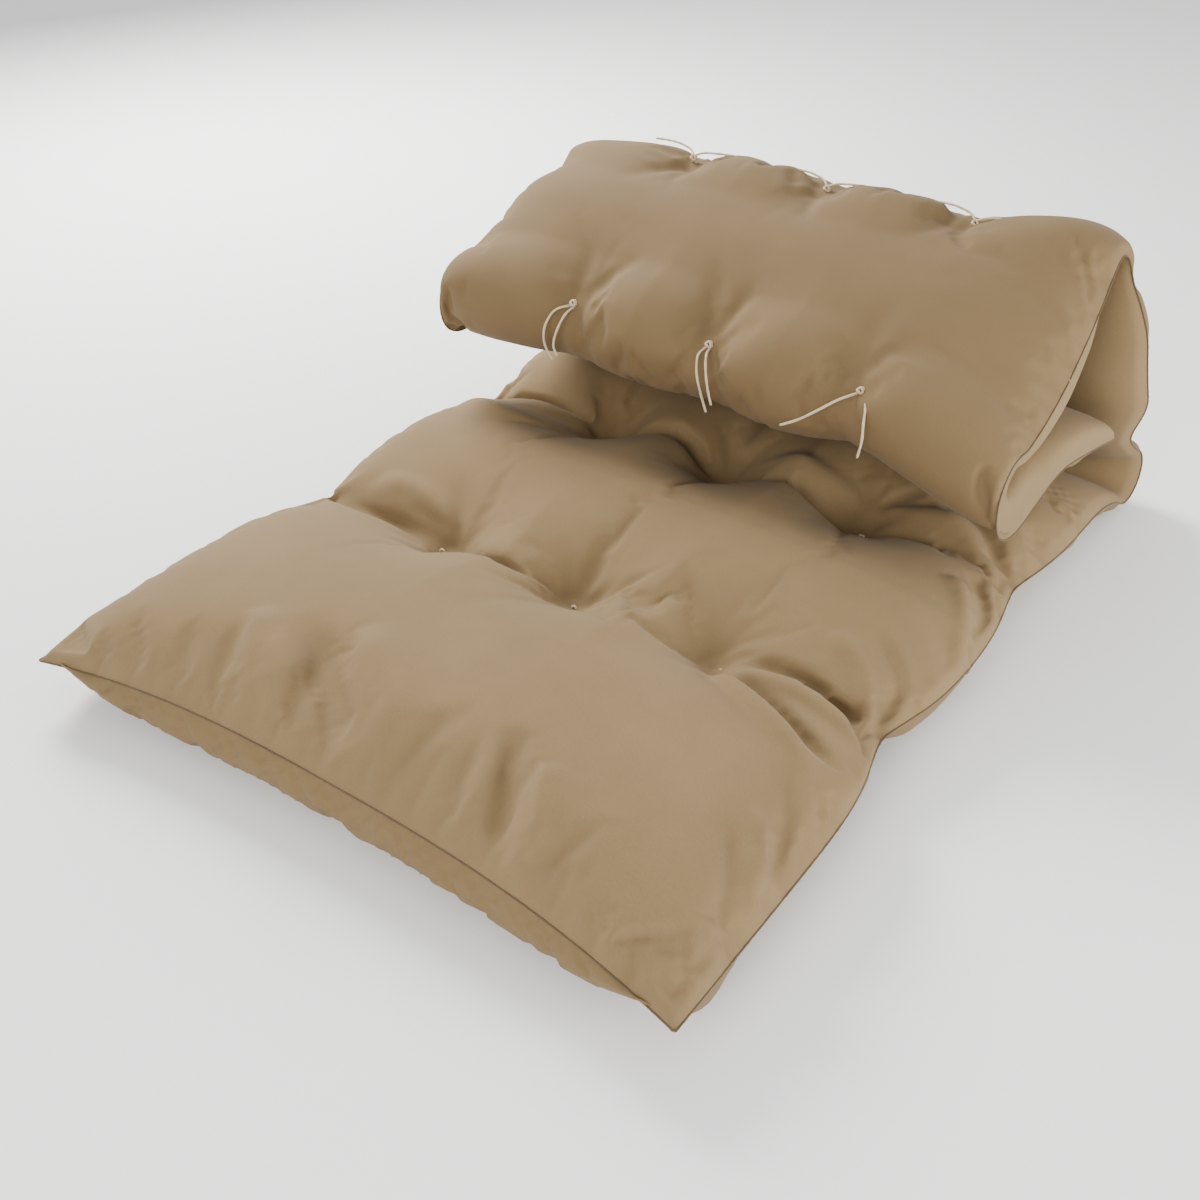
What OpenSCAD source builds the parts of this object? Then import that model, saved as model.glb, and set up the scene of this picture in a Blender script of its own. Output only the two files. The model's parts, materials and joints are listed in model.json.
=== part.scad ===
// Tufted futon mattress, lying on the floor with its far end rolled up.
// Six stuffed panels are hinged along five rows of tufting ties.
// The origin is on the floor, at the middle of the second panel. The front end points along -y.

/* [Mattress] */
// Width from side seam to side seam
mattress_w = 700; // [600:10:840]
// Front seam to the first row of ties
front_span = 355; // [300:5:420]
// Distance between tie rows, for the four spans that start on the floor
row_pitch = 275; // [265:1:330]
// Crest of the roll to the front of the roll
flap_span = 245; // [240:1:290]
// Last tie row to the far seam, as it lies squeezed inside the roll
tail_span = 244; // [210:1:248]
// Height of a panel that lies on the floor
crown_h = 98; // [84:1:104]
// Thickness of the squeezed panel behind the roll
back_h = 80; // [72:1:84]
// Thickness of the squeezed flap over the roll
flap_h = 80; // [70:1:88]
// Thickness of the squeezed end inside the roll
tail_h = 72; // [68:1:75]

/* [Cloth and filling] */
// Thickness of the cover cloth and its lining
cloth_t = 2; // [1.5:0.1:3]
// Height of the seam that joins the two covers
seam_h = 36; // [33:0.5:37]
// Top of the lower batting layer
lower_layer_h = 28; // [22:1:30]
// Top of the core layer
core_layer_h = 58; // [50:1:62]
// Length of the hollow under each tie row, on either side
tuck_len = 45; // [35:1:55]
// Height of that hollow
tuck_h = 18; // [15:0.5:20]

/* [Folds] */
// Height of the fold line over the underside
fold_h = 40; // [39:0.5:44]
// Turn at the row where the mattress leaves the floor
turn_floor = 108; // [106:1:112]
// Turn at the crest of the roll
turn_crest = 94; // [91:1:96]
// Turn at the front of the roll
turn_front = 141; // [139:1:142]
// How far the panels at rows 1 and 2 can fold up towards each other
front_fold = 80; // [40:1:86]
// Spare angle between two panels that are folded shut
spare_turn = 2; // [1:0.5:4]
// Gap between two panels along a fold line
fold_gap = 0.6; // [0.4:0.1:1.2]

/* [Ties] */
// Sideways distance from the middle tie to an outer one
tie_pitch = 168; // [120:1:200]
// Thickness of the tufting thread
thread_d = 2.4; // [1.8:0.1:3]
// Distance between the two strands of one tie
strand_gap = 6; // [5:0.5:8]
// Diameter of the knot under each tie
knot_d = 8; // [7:0.5:9]
// Radius of the dimple round each tie
dimple_r = 7; // [6:0.5:9]

/* [Hidden] */
cloth_colour = "#a58f72";
batting_colour = "#e6dfd0";
thread_colour = "#e6d2b4";

panels = [1, 2, 3, 4, 5, 6];
rows = [1, 2, 3, 4, 5];
sides = ["left", "middle", "right"];
spans = [front_span, row_pitch, row_pitch, row_pitch, flap_span, tail_span];
crowns = [crown_h, crown_h, crown_h, back_h, flap_h, tail_h];
shut_turns = [front_fold, front_fold, turn_floor, turn_crest, turn_front];

// Where each fold line lies, and which way the panel after it points, in the rolled mattress
row_1_y = -row_pitch / 2;
row_2_y = row_1_y + row_pitch;
row_3_y = row_2_y + row_pitch;
back_dir = turn_floor;
flap_dir = back_dir + turn_crest;
tail_dir = flap_dir + turn_front;
crest_y = row_3_y + row_pitch * cos(back_dir);
crest_z = fold_h + row_pitch * sin(back_dir);
nose_y = crest_y + flap_span * cos(flap_dir);
nose_z = crest_z + flap_span * sin(flap_dir);
// One [y, z, direction] for each panel
seats = [
    [row_1_y - front_span, fold_h, 0],
    [row_1_y, fold_h, 0],
    [row_2_y, fold_h, 0],
    [row_3_y, fold_h, back_dir],
    [crest_y, crest_z, flap_dir],
    [nose_y, nose_z, tail_dir]
];
// The panel that carries each row of ties
carriers = [2, 3, 3, 5, 5];

profile_steps = 22;
edge_steps = 16;
seam_run = 0.55;
tuck_run = 0.3;
roundness = 2.6;
edge_roundness = 5;
flat_cut = 5;
clear_side = 10;
end_lift = 0.05;
mouth_depth = 4;
// How far the covers stop short of the side seams where they open into the next panel
mouth_inset = 30;
top_clear = max(crowns) + 1;
knot_h = 6;
// The knot hangs clear of the cloth beside its tie
knot_clear = 0.1;
knot_z = tuck_h * (1 - knot_d / 2 / tuck_len) - knot_h / 2 - knot_clear;
tube_sides = 8;
route_steps = 2;

// ---- Outline of a panel along the mattress ----

// 1 in the middle of a pillow and 0 at its edge
function pillow(u, power) = pow(1 - pow(min(1, abs(u)), power), 0.5);

// Half of the angle that the fold at the start or the end of a panel closes through
function start_half(p) = (shut_turns[p - 2] + spare_turn) / 2;
function end_half(p) = (shut_turns[p - 1] + spare_turn) / 2;

// Limit that a fold sets on the height at distance d from it
function fold_limit(d, half) = fold_h + (d * cos(half) - fold_gap) / sin(half);

// How far the outline has risen from a free seam, at distance d from it
function rise(d, run) = d > run ? 1 : pillow(1 - d / run, roundness);

function top_at(p, d, skin) =
    let (
        full = crowns[p - 1] - skin,
        low = seam_h + skin * 0.5,
        from_front = p == 1 ? low + (full - low) * rise(d, spans[0] * seam_run) : full,
        from_end = p == 6 ? low + (full - low) * rise(spans[5] - d, spans[5] * seam_run) : full,
        start_lim = p == 1 ? full : fold_limit(d, start_half(p)) - skin,
        end_lim = p == 6 ? full : fold_limit(spans[p - 1] - d, end_half(p)) - skin
    )
    max(min(from_front, from_end, start_lim, end_lim), min(low, fold_h - skin));

function tuck_at(d) = d > tuck_len ? 0 : tuck_h * (1 - d / tuck_len);

function bottom_at(p, d, skin) =
    let (
        high = seam_h - skin * 0.5,
        at_start = p == 1 ? high * (1 - rise(d, spans[0] * tuck_run)) : tuck_at(d),
        at_end = p == 6 ? high * (1 - rise(spans[5] - d, spans[5] * tuck_run)) : tuck_at(spans[p - 1] - d)
    )
    min(max(at_start, at_end) + skin, high);

function start_of(p, skin) = p == 1 ? skin * 2 : fold_gap;
function end_of(p, skin) = spans[p - 1] - (p == 6 ? skin * 2 : fold_gap);

// The distances at which the outline is worked out
function stations(p, skin) =
    let (a = start_of(p, skin), b = end_of(p, skin))
    [for (i = [0:profile_steps]) a + (b - a) * (1 - cos(180 * i / profile_steps)) / 2];

function long_outline(p, skin) =
    let (run = stations(p, skin), last = len(run) - 1)
    concat(
        [for (d = run) [d, bottom_at(p, d, skin)]],
        [for (i = [last:-1:0]) [run[i], top_at(p, run[i], skin) + (i == 0 || i == last ? end_lift : 0)]]
    );

// ---- Outline of a panel across the mattress ----

function cross_outline(p, skin) =
    let (
        half = mattress_w / 2 - skin * 2,
        full = crowns[p - 1] - skin,
        us = [for (i = [0:edge_steps]) cos(180 * i / edge_steps)]
    )
    concat(
        [for (u = us) [u * half, seam_h + (full - seam_h) * pillow(u, edge_roundness)]],
        [for (i = [edge_steps - 1:-1:1])
            [us[i] * half, max(skin, seam_h - (seam_h + flat_cut) * pillow(us[i], edge_roundness))]]
    );

// ---- Placing ----

// Puts a panel drawn from its own fold line where it lies in the rolled mattress
module seat(p) {
    spot = seats[p - 1];
    translate([0, spot[0], spot[1]])
        rotate([spot[2], 0, 0])
            translate([0, 0, -fold_h])
                children();
}

// ---- Panels ----

module panel_solid(p, skin) {
    intersection() {
        rotate([90, 0, 90])
            linear_extrude(mattress_w + clear_side, center = true)
                polygon(long_outline(p, skin));
        translate([0, spans[p - 1] + clear_side, 0])
            rotate([90, 0, 0])
                linear_extrude(spans[p - 1] + 2 * clear_side)
                    polygon(cross_outline(p, skin));
    }
}

// Everything in a panel between two heights
module slab(low, high) {
    translate([-mattress_w, -mattress_w, low])
        cube([2 * mattress_w, 3 * mattress_w, high - low]);
}

function start_row(p) = p - 1;
function end_row(p) = p;
function carries(p, r) = carriers[r - 1] == p;

// Holes for the strands in the panel that carries the ties, and dimples in both panels
module tie_cuts_at(y, carrier) {
    for (i = [-1:1])
        translate([i * tie_pitch, y, 0]) {
            if (carrier)
                for (side = [-1, 1])
                    translate([side * strand_gap / 2, 0, -1])
                        cylinder(h = fold_h, d = thread_d, $fn = 24);
            translate([0, 0, carrier ? fold_h - cloth_t : -1])
                cylinder(h = top_clear, r = dimple_r, $fn = 32);
        }
}

module tie_cuts(p) {
    if (p > 1)
        tie_cuts_at(0, carries(p, start_row(p)));
    if (p < 6)
        tie_cuts_at(spans[p - 1], carries(p, end_row(p)));
}

module cover(p, low, high) {
    color(cloth_colour)
        seat(p)
            difference() {
                intersection() {
                    panel_solid(p, 0);
                    slab(low, high);
                }
                panel_solid(p, cloth_t);
                open_ends(p);
                tie_cuts(p);
            }
}

// Opens the ends of a cover where it runs on into the next panel
module open_ends(p) {
    mouth = tuck_h + cloth_t;
    for (end = [0, 1])
        if ((end == 0 && p > 1) || (end == 1 && p < 6))
            translate([-mattress_w / 2 + mouth_inset, end * spans[p - 1] - mouth_depth / 2, mouth])
                cube([mattress_w - 2 * mouth_inset, mouth_depth, fold_h - cloth_t - mouth]);
}

module cover_top(p) {
    cover(p, seam_h, top_clear);
}

module cover_bottom(p) {
    cover(p, -1, seam_h);
}

module batting(p, low, high) {
    color(batting_colour)
        seat(p)
            difference() {
                intersection() {
                    panel_solid(p, cloth_t);
                    slab(low, high);
                }
                tie_cuts(p);
            }
}

module batting_upper(p) {
    batting(p, core_layer_h, top_clear);
}

module batting_core(p) {
    batting(p, lower_layer_h, core_layer_h);
}

module batting_lower(p) {
    batting(p, 0, lower_layer_h);
}

// ---- Ties ----

// Distance of a tie row from the fold line at the start of the panel that carries it
function tie_run(r) = carriers[r - 1] == r ? spans[r - 1] : 0;

module tie(r, i) {
    color(thread_colour)
        seat(carriers[r - 1])
            translate([i * tie_pitch, tie_run(r), 0]) {
                for (side = [-1, 1])
                    translate([side * strand_gap / 2, 0, knot_z])
                        cylinder(h = fold_h - knot_z, d = thread_d, $fn = 24);
                translate([-(strand_gap + thread_d) / 2, 0, fold_h])
                    rotate([0, 90, 0])
                        cylinder(h = strand_gap + thread_d, d = thread_d, $fn = 24);
                translate([0, 0, knot_z - knot_h / 2])
                    cylinder(h = knot_h, d = knot_d, $fn = 32);
            }
}

// ---- Thread tails: each route starts in its knot, and its points count from the knot's middle ----

// Under rows 1, 2 and 3 the tails lie along the hollow
floor_tails = [
    [[2, 0, -1], [13, 3, -5], [30, -5, -10], [48, 2, -11], [64, 8, -11]],
    [[-2, 0, -1], [-12, -3, -6], [-27, 4, -10], [-44, 6, -11], [-60, -2, -11]]
];
// Over the crest
crest_tails = [
    [[2, 1, 3], [12, 2, 7], [30, 4, 9], [48, 8, 9], [62, 10, 8]],
    [[-2, 2, 3], [-10, 8, 6], [-26, 10, 9], [-42, 11, 9], [-56, 8, 9]]
];
// Down the front of the roll, one pair for each tie
nose_tails_left = [
    [[-2, 0, -3], [-13, -15, -6], [-18, -27, -22], [-15, -31, -40], [-7, -28, -56]],
    [[2, 0, -3], [0, -15, -8], [-3, -26, -23], [-3, -32, -37], [1, -31, -48]]
];
nose_tails_middle = [
    [[-2, 0, -3], [-3, -15, -7], [4, -27, -21], [12, -31, -38], [17, -28, -58]],
    [[2, 0, -3], [6, -14, -5], [13, -25, -17], [20, -31, -32], [25, -32, -46]]
];
nose_tails_right = [
    [[-2, 0, -3], [-15, -15, -8], [-31, -26, -20], [-46, -33, -31], [-62, -37, -40]],
    [[2, 0, -3], [12, -12, -6], [18, -25, -18], [21, -31, -34], [18, -30, -52]]
];
// The pairs of tails at the left, middle and right tie of each row
tails = [
    [floor_tails, floor_tails, floor_tails],
    [floor_tails, floor_tails, floor_tails],
    [floor_tails, floor_tails, floor_tails],
    [crest_tails, crest_tails, crest_tails],
    [nose_tails_left, nose_tails_middle, nose_tails_right]
];

// Where the knots of a row lie, as [y, z]
function knot_spot(r) =
    let (seat = seats[carriers[r - 1] - 1], d = tie_run(r), drop = fold_h - knot_z)
    [
        seat[0] + d * cos(seat[2]) + drop * sin(seat[2]),
        seat[1] + d * sin(seat[2]) - drop * cos(seat[2])
    ];

function pick(list, i) = list[max(0, min(len(list) - 1, i))];

// A smooth curve through the points of a route
function bend(a, b, c, d, t) =
    0.5 * (2 * b + (c - a) * t + (2 * a - 5 * b + 4 * c - d) * t * t + (3 * b - a - 3 * c + d) * t * t * t);
function smooth(route) = concat(
    [for (i = [0:len(route) - 2], k = [0:route_steps - 1])
        bend(pick(route, i - 1), route[i], route[i + 1], pick(route, i + 2), k / route_steps)],
    [route[len(route) - 1]]
);

function unit(v) = v / norm(v);
function heading(path, i) = unit(pick(path, i + 1) - pick(path, i - 1));
function ring(path, i, r) =
    let (
        t = heading(path, i),
        side = unit(cross(t, abs(t[2]) > 0.8 ? [1, 0, 0] : [0, 0, 1])),
        lift = cross(side, t)
    )
    [for (k = [0:tube_sides - 1])
        path[i] + r * (side * cos(360 * k / tube_sides) + lift * sin(360 * k / tube_sides))];

module tube(route) {
    path = smooth(route);
    count = len(path);
    points = [for (i = [0:count - 1]) each ring(path, i, thread_d / 2)];
    walls = [
        for (i = [0:count - 2], k = [0:tube_sides - 1])
            let (a = i * tube_sides, b = a + tube_sides, n = (k + 1) % tube_sides)
            each [[a + k, a + n, b + n], [a + k, b + n, b + k]]
    ];
    first = [[for (k = [tube_sides - 1:-1:0]) k]];
    last = [[for (k = [0:tube_sides - 1]) (count - 1) * tube_sides + k]];
    polyhedron(points, concat(walls, first, last));
}

module tie_tails(r) {
    spot = knot_spot(r);
    color(thread_colour)
        for (i = [0:2])
            translate([(i - 1) * tie_pitch, spot[0], spot[1]])
                for (route = tails[r - 1][i])
                    tube(route);
}

for (p = panels) {
    cover_top(p);
    cover_bottom(p);
    batting_upper(p);
    batting_core(p);
    batting_lower(p);
}
for (r = rows, i = [0:2])
    tie(r, i - 1);
for (r = rows)
    tie_tails(r);
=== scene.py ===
# Tufted futon mattress with its far end rolled up: cover cloth, batting, ties and loose thread tails.
import bpy
import json
import math
import numpy as np
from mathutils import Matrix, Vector


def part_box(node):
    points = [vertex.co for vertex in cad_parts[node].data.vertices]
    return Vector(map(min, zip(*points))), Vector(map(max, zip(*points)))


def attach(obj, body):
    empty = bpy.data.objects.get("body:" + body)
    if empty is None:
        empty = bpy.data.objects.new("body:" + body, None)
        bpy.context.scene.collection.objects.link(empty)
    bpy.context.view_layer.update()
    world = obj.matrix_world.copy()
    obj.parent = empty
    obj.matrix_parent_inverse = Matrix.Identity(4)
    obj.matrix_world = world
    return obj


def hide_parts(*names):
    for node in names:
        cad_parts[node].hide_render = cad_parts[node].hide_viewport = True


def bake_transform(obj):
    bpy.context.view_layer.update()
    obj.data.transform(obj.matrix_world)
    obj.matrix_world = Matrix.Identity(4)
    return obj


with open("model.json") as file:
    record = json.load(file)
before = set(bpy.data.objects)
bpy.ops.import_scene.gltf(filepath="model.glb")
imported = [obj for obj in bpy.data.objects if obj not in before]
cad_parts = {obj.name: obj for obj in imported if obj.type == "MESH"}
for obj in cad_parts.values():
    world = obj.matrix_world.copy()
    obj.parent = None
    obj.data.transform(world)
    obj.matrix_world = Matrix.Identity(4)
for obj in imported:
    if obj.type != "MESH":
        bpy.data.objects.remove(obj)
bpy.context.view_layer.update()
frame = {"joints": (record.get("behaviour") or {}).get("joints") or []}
scene = bpy.context.scene
joints = {joint["name"]: joint for joint in frame["joints"]}
sideNames = ("left", "middle", "right")


# Camera

cameraSetup = {
    "azimuth": 35.8,      # degrees round from the front seam
    "elevation": 36.0,
    "distance": 1.4545,
    "aim": (-0.0236, -0.062, 0.0),
    "lens": 42.4,
    "sensor": 36.0,
}


def addCamera(setup):
    az = math.radians(setup["azimuth"])
    el = math.radians(setup["elevation"])
    back = Vector((math.sin(az) * math.cos(el), -math.cos(az) * math.cos(el), math.sin(el)))
    cam = bpy.data.cameras.new("studioCamera")
    cam.lens = setup["lens"]
    cam.sensor_width = setup["sensor"]
    cam.clip_start = 0.05
    rig = bpy.data.objects.new("studioCamera", cam)
    rig.location = Vector(setup["aim"]) + back * setup["distance"]
    rig.rotation_euler = back.to_track_quat("Z", "Y").to_euler()
    scene.collection.objects.link(rig)
    scene.camera = rig


addCamera(cameraSetup)
print("camera placed")


# Nodes written as sums

class Wire:
    tree = None    # the node tree being filled

    def __init__(self, socket):
        self.socket = socket

    def maths(self, operation, other, swap=False):
        pair = (other, self) if swap else (self, other)
        return node("ShaderNodeMath", {"operation": operation}, {0: pair[0], 1: pair[1]})

    def __add__(self, other):
        return self.maths("ADD", other)

    def __radd__(self, other):
        return self.maths("ADD", other, True)

    def __sub__(self, other):
        return self.maths("SUBTRACT", other)

    def __rsub__(self, other):
        return self.maths("SUBTRACT", other, True)

    def __mul__(self, other):
        return self.maths("MULTIPLY", other)

    def __rmul__(self, other):
        return self.maths("MULTIPLY", other, True)

    def __truediv__(self, other):
        return self.maths("DIVIDE", other)

    def __pow__(self, other):
        return self.maths("POWER", other)


def node(kind, settings=None, sockets=None, out=0):
    made = Wire.tree.nodes.new(kind)
    for name, value in (settings or {}).items():
        setattr(made, name, value)
    for key, value in (sockets or {}).items():
        if isinstance(value, Wire):
            Wire.tree.links.new(value.socket, made.inputs[key])
        else:
            made.inputs[key].default_value = value
    return Wire(made.outputs[out])


def sine(wire):
    return node("ShaderNodeMath", {"operation": "SINE"}, {0: wire})


def clamped(wire):
    return node("ShaderNodeClamp", None, {"Value": wire})


def noise(place, scale, detail=3.0, roughness=0.5):
    return node("ShaderNodeTexNoise", None,
                {"Vector": place, "Scale": scale, "Detail": detail, "Roughness": roughness})


def mixed(factor, dark, light):
    made = node("ShaderNodeMix", {"data_type": "RGBA"}, {0: factor}, out=2)
    for socket, value in zip((6, 7), (dark, light)):
        if isinstance(value, Wire):
            Wire.tree.links.new(value.socket, made.socket.node.inputs[socket])
        else:
            made.socket.node.inputs[socket].default_value = (*value, 1)
    return made


def newMaterial(name, roughness, sheen=0.0):
    material = bpy.data.materials.new(name)
    material.use_nodes = True
    Wire.tree = material.node_tree
    shader = material.node_tree.nodes["Principled BSDF"]
    shader.inputs["Roughness"].default_value = roughness
    shader.inputs["Sheen Weight"].default_value = sheen
    shader.inputs["Sheen Roughness"].default_value = 0.45
    shader.inputs["Specular IOR Level"].default_value = 0.18
    return material, shader


def feed(shader, name, wire):
    Wire.tree.links.new(wire.socket, shader.inputs[name])


# Materials

twill = {
    "dark": (0.162, 0.107, 0.049),
    "light": (0.250, 0.172, 0.086),
    "yarns": 900.0,       # ribs to a metre
    "worn": (0.295, 0.211, 0.114),
    "underside": (0.118, 0.074, 0.031),    # painted shade: the bottom cloth, which forms the outer face of the roll, is coloured darker to stand in for the shade that falls on it
}


def clothMaterial():
    material, shader = newMaterial("twillCloth", 0.92, 0.06)
    place = node("ShaderNodeAttribute", {"attribute_name": "clothPlace"}, out=1)
    parts = node("ShaderNodeSeparateXYZ", None, {0: place})
    across = Wire(parts.socket.node.outputs[0])
    along = Wire(parts.socket.node.outputs[1])
    wobble = noise(place, 60.0, 2.0)
    turn = 2 * math.pi * twill["yarns"]
    rib = sine((across + along * 0.62) * turn + wobble * 2.5) * 0.5 + 0.5
    weft = sine(along * turn * 0.9 + wobble) * 0.5 + 0.5
    slub = noise(place, 420.0, 3.0, 0.6)
    cloud = noise(place, 9.0, 3.0, 0.55)
    blotch = noise(place, 30.0, 4.0, 0.6)
    weave = clamped(rib * 0.34 + weft * 0.12 + slub * 0.44 + cloud * 0.3 + blotch * 0.22 - 0.24)
    tint = mixed(weave, twill["dark"], twill["light"])
    faded = mixed(clamped(cloud * 1.6 - 0.75), tint, twill["worn"])
    soft = mixed(0.22, tint, faded)
    # painted shade: the lower sheet is mixed toward the darker underside colour, standing in for the shade on
    # the roll's outer face
    bottom = clamped((across - 1.5) * 10)
    soft = mixed(bottom * 0.36, soft, twill["underside"])
    feed(shader, "Base Color", soft)
    feed(shader, "Roughness", 0.86 + rib * 0.08)
    relief = rib * 0.55 + weft * 0.2 + slub * 0.6
    bump = node("ShaderNodeBump", None, {"Strength": 0.32, "Distance": 0.0006, "Height": relief})
    feed(shader, "Normal", bump)
    return material


def threadMaterial():
    material, shader = newMaterial("waxedThread", 0.7, 0.1)
    place = node("ShaderNodeTexCoord", None, None, out=3)
    fibre = noise(place, 900.0, 3.0, 0.6)
    tint = mixed(fibre, (0.46, 0.345, 0.205), (0.72, 0.59, 0.405))
    feed(shader, "Base Color", tint)
    bump = node("ShaderNodeBump", None, {"Strength": 0.4, "Distance": 0.0004, "Height": fibre})
    feed(shader, "Normal", bump)
    return material


def seamShadeLineMaterial():
    material, shader = newMaterial("seamShadeLine", 0.75, 0.1)
    place = node("ShaderNodeTexCoord", None, None, out=3)
    fibre = noise(place, 700.0, 2.0, 0.5)
    # painted shade: a near-black colour, darker than the cloth, stands in for the shadow in the crease along
    # the seam
    feed(shader, "Base Color", mixed(fibre, (0.070, 0.045, 0.021), (0.120, 0.080, 0.040)))
    return material


def battingMaterial(name, dark, light, scale):
    material, shader = newMaterial(name, 0.95, 0.25)
    place = node("ShaderNodeTexCoord", None, None, out=3)
    tuft = noise(place, scale, 5.0, 0.65)
    fibre = noise(place, scale * 9, 3.0, 0.6)
    tint = mixed(clamped(tuft * 0.7 + fibre * 0.5 - 0.1), dark, light)
    feed(shader, "Base Color", tint)
    bump = node("ShaderNodeBump", None, {"Strength": 0.6, "Distance": 0.002, "Height": tuft + fibre * 0.5})
    feed(shader, "Normal", bump)
    return material


def floorMaterial():
    material, shader = newMaterial("paleFloor", 0.9)
    shader.inputs["Base Color"].default_value = (0.94, 0.94, 0.94, 1)
    return material


cloth = clothMaterial()
thread = threadMaterial()
seamShadeLine = seamShadeLineMaterial()
felt = battingMaterial("cottonFelt", (0.62, 0.57, 0.46), (0.86, 0.82, 0.72), 70.0)
coreFill = battingMaterial("cottonCore", (0.56, 0.50, 0.39), (0.80, 0.75, 0.64), 38.0)
print("materials made")


# Places taken from the frame

foldNames = ("front_end_fold", "front_half_fold", "unroll_floor_row", "unroll_crest_row", "unroll_front_row")
turns = np.array([0.0, 0.0] + [math.radians(joints[name]["range_deg"][1]) for name in foldNames[2:]])
pivots = np.array([joints[name]["pos_m"][1:] for name in foldNames])
foldHeight = float(pivots[0][1])
frontY = float(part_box("cover_top_1")[0][1])
halfWidth = float(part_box("cover_top_1")[1][0])
tailSpan = 0.244    # the last fold to the far seam
spans = [float(pivots[0][0]) - frontY]
spans += [float(np.linalg.norm(b - a)) for a, b in zip(pivots[:-1], pivots[1:])]
spans.append(tailSpan)
rowAt = np.cumsum(spans)[:5]
clothLength = float(sum(spans))
headings = np.concatenate([[0.0], np.cumsum(turns)])
tiePitch = float(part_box("tie_1_right")[0][0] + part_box("tie_1_right")[1][0]) / 2
tieX = [-tiePitch, 0.0, tiePitch]


# Thread tails: where they leave the knots, then loose on the cloth

# Points count from the middle of the knot, in metres
floorTails = [
    [(0.002, 0, -0.001), (0.013, 0.003, -0.005), (0.030, -0.005, -0.010), (0.048, 0.002, -0.011),
     (0.064, 0.008, -0.011)],
    [(-0.002, 0, -0.001), (-0.012, -0.003, -0.006), (-0.027, 0.004, -0.010), (-0.044, 0.006, -0.011),
     (-0.060, -0.002, -0.011)],
]
crestTails = [
    [(0.002, 0.001, 0.003), (0.012, 0.002, 0.007), (0.030, 0.004, 0.009), (0.048, 0.008, 0.009),
     (0.062, 0.010, 0.008)],
    [(-0.002, 0.002, 0.003), (-0.010, 0.008, 0.006), (-0.026, 0.010, 0.009), (-0.042, 0.011, 0.009),
     (-0.056, 0.008, 0.009)],
]
noseTails = {
    "left": [
        [(-0.002, 0, -0.003), (-0.013, -0.015, -0.006), (-0.018, -0.027, -0.022), (-0.015, -0.031, -0.040),
         (-0.007, -0.028, -0.056)],
        [(0.002, 0, -0.003), (0, -0.015, -0.008), (-0.003, -0.026, -0.023), (-0.003, -0.032, -0.037),
         (0.001, -0.031, -0.048)],
    ],
    "middle": [
        [(-0.002, 0, -0.003), (-0.003, -0.015, -0.007), (0.004, -0.027, -0.021), (0.012, -0.031, -0.038),
         (0.017, -0.028, -0.058)],
        [(0.002, 0, -0.003), (0.006, -0.014, -0.005), (0.013, -0.025, -0.017), (0.020, -0.031, -0.032),
         (0.025, -0.032, -0.046)],
    ],
    "right": [
        [(-0.002, 0, -0.003), (-0.015, -0.015, -0.008), (-0.031, -0.026, -0.020), (-0.046, -0.033, -0.031),
         (-0.062, -0.037, -0.040)],
        [(0.002, 0, -0.003), (0.012, -0.012, -0.006), (0.018, -0.025, -0.018), (0.021, -0.031, -0.034),
         (0.018, -0.030, -0.052)],
    ],
}
threadSetup = {
    "diameter": 0.0024,
    "around": 10,
    "strandGap": 0.006,
    "knotDrop": 0.0267,      # fold line to the middle of the knot
    "twists": 260.0,         # turns of the ply to a metre
}
carriers = (2, 3, 3, 5, 5)    # the panel that holds each row of ties


def smoothRoute(points, parts):
    line = []
    count = len(points)
    for i in range(count - 1):
        a, b, c, d = (np.array(points[max(0, min(count - 1, i + k))], float) for k in (-1, 0, 1, 2))
        for step in range(parts):
            t = step / parts
            line.append(0.5 * (2 * b + (c - a) * t + (2 * a - 5 * b + 4 * c - d) * t * t
                               + (3 * b - a - 3 * c + d) * t ** 3))
    line.append(np.array(points[-1], float))
    return np.array(line)


def tubeMesh(line, radius, around, plies=2, twist=0.0, ends=0.5):
    line = np.array(line)
    tangent = np.gradient(line, axis=0)
    tangent /= np.linalg.norm(tangent, axis=1)[:, None]
    side = np.cross(tangent[0], (0, 0, 1) if abs(tangent[0][2]) < 0.8 else (1, 0, 0))
    travelled = np.concatenate([[0], np.cumsum(np.linalg.norm(np.diff(line, axis=0), axis=1))])
    points = []
    for i, middle in enumerate(line):
        side = side - tangent[i] * np.dot(side, tangent[i])
        side /= np.linalg.norm(side)
        lift = np.cross(tangent[i], side)
        for k in range(around):
            a = 2 * math.pi * k / around
            bulge = radius * (1 + 0.12 * math.cos(plies * a + twist * travelled[i]))
            points.append(middle + side * bulge * math.cos(a) + lift * bulge * math.sin(a))
    last = len(line) - 1
    faces = [(i * around + k, i * around + (k + 1) % around, (i + 1) * around + (k + 1) % around,
              (i + 1) * around + k) for i in range(last) for k in range(around)]
    points += [line[0] - tangent[0] * radius * ends, line[-1] + tangent[-1] * radius * ends]
    tip = len(points) - 1
    faces += [(tip - 1, (k + 1) % around, k) for k in range(around)]
    faces += [(tip, last * around + k, last * around + (k + 1) % around) for k in range(around)]
    return np.array(points), faces


def makeMesh(name, points, faces, material):
    mesh = bpy.data.meshes.new(name)
    mesh.from_pydata([tuple(map(float, p)) for p in points], [], faces)
    mesh.update()
    mesh.shade_smooth()
    mesh.materials.append(material)
    obj = bpy.data.objects.new(name, mesh)
    scene.collection.objects.link(obj)
    return obj


def knotSpot(row):
    heading = headings[carriers[row - 1] - 1]
    pivot = pivots[row - 1]
    down = np.array([math.sin(heading), -math.cos(heading)])
    return pivot + down * threadSetup["knotDrop"]


def bendNode(obj):
    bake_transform(obj)


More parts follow.
